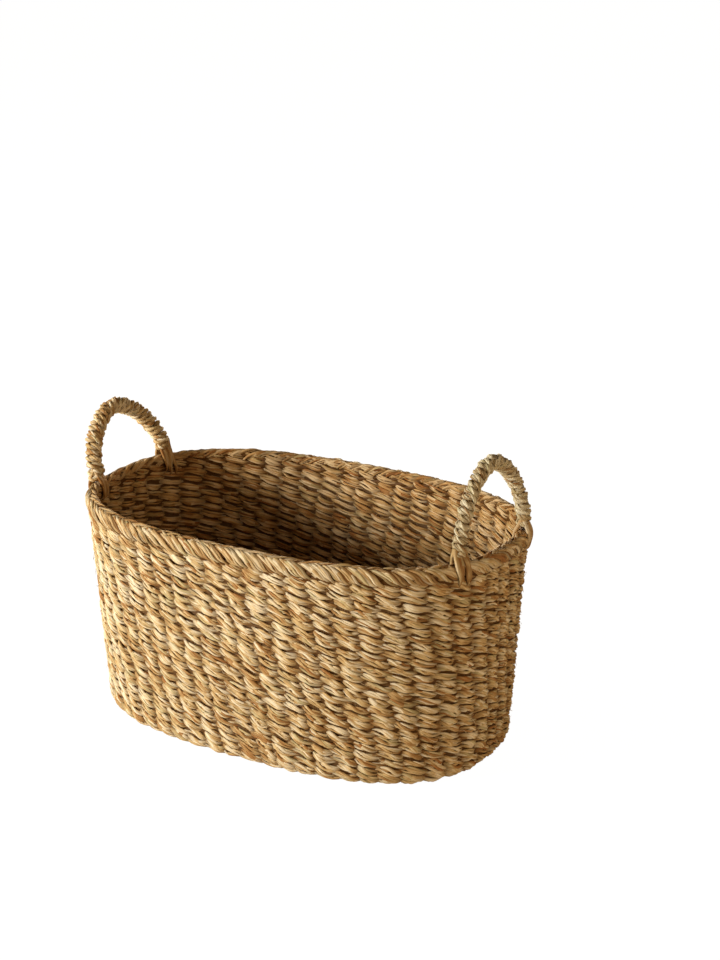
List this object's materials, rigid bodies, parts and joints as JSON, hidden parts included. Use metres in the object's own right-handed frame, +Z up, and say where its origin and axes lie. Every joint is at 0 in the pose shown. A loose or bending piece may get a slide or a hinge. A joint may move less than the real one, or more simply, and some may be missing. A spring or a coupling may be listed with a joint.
{
  "type": "laundry basket",
  "caption": "Oblong open laundry basket, twined from seagrass over upright stakes, with a laid rim border and two wrapped hoop handles.",
  "frame": {"origin": "middle of the flat underside of the base", "axes": "+Z up through the open mouth, +X along the basket towards the right handle, -Y towards the long side nearest the viewer"},
  "size_m": [0.5474, 0.3352, 0.3618],
  "materials": {
    "base_weave": "matt twined seagrass, brown straw",
    "inner_weave": "matt twined seagrass, shaded brown straw",
    "course": "twined seagrass strand, golden straw with tan and brown streaks",
    "stake": "dry seagrass stake, plain straw",
    "border": "thick laid seagrass strands, pale straw",
    "handle_cord": "two-ply seagrass cord wrapped tight, pale grey-green straw",
    "handle_strand": "loose seagrass core strands, pale straw"
  },
  "bodies": {
    "basket": {"base_mat": "base_weave", "inner_weave": "inner_weave", "course_01": "course", "course_02": "course", "course_03": "course", "course_04": "course", "course_05": "course", "course_06": "course", "course_07": "course", "course_08": "course", "course_09": "course", "course_10": "course", "course_11": "course", "course_12": "course", "course_13": "course", "course_14": "course", "course_15": "course", "course_16": "course", "course_17": "course", "course_18": "course", "course_19": "course", "course_20": "course", "course_21": "course", "course_22": "course", "course_23": "course", "course_24": "course", "stake_long_01": "stake", "stake_long_02": "stake", "stake_long_03": "stake", "stake_long_04": "stake", "stake_long_05": "stake", "stake_long_06": "stake", "stake_long_07": "stake", "stake_long_08": "stake", "stake_long_09": "stake", "stake_long_10": "stake", "stake_long_11": "stake", "stake_long_12": "stake", "stake_cross_01": "stake", "stake_cross_02": "stake", "stake_cross_03": "stake", "stake_cross_04": "stake", "stake_cross_05": "stake", "stake_cross_06": "stake", "stake_cross_07": "stake", "stake_cross_08": "stake", "stake_cross_09": "stake", "stake_cross_10": "stake", "stake_cross_11": "stake", "stake_cross_12": "stake", "stake_cross_13": "stake", "stake_cross_14": "stake", "stake_cross_15": "stake", "rim_border": "border", "handle_left_foot_front": "handle_strand", "handle_left_foot_rear": "handle_strand", "handle_right_foot_front": "handle_strand", "handle_right_foot_rear": "handle_strand"},
    "left_handle": {"handle_left_hoop": "handle_cord"},
    "right_handle": {"handle_right_hoop": "handle_cord"}
  },
  "joints": [
    {"name": "left_handle_flex", "type": "hinge", "parent": "basket", "child": "left_handle", "pos_m": [-0.2495, 0.00603, 0.27244], "axis": [-0.0361, -0.9993, 0], "range_deg": [-25, 15], "stiffness_Nm_per_rad": 1.2},
    {"name": "right_handle_flex", "type": "hinge", "parent": "basket", "child": "right_handle", "pos_m": [0.2485, -0.01507, 0.27244], "axis": [0.0912, 0.9958, 0], "range_deg": [-15, 25], "stiffness_Nm_per_rad": 1.2}
  ]
}
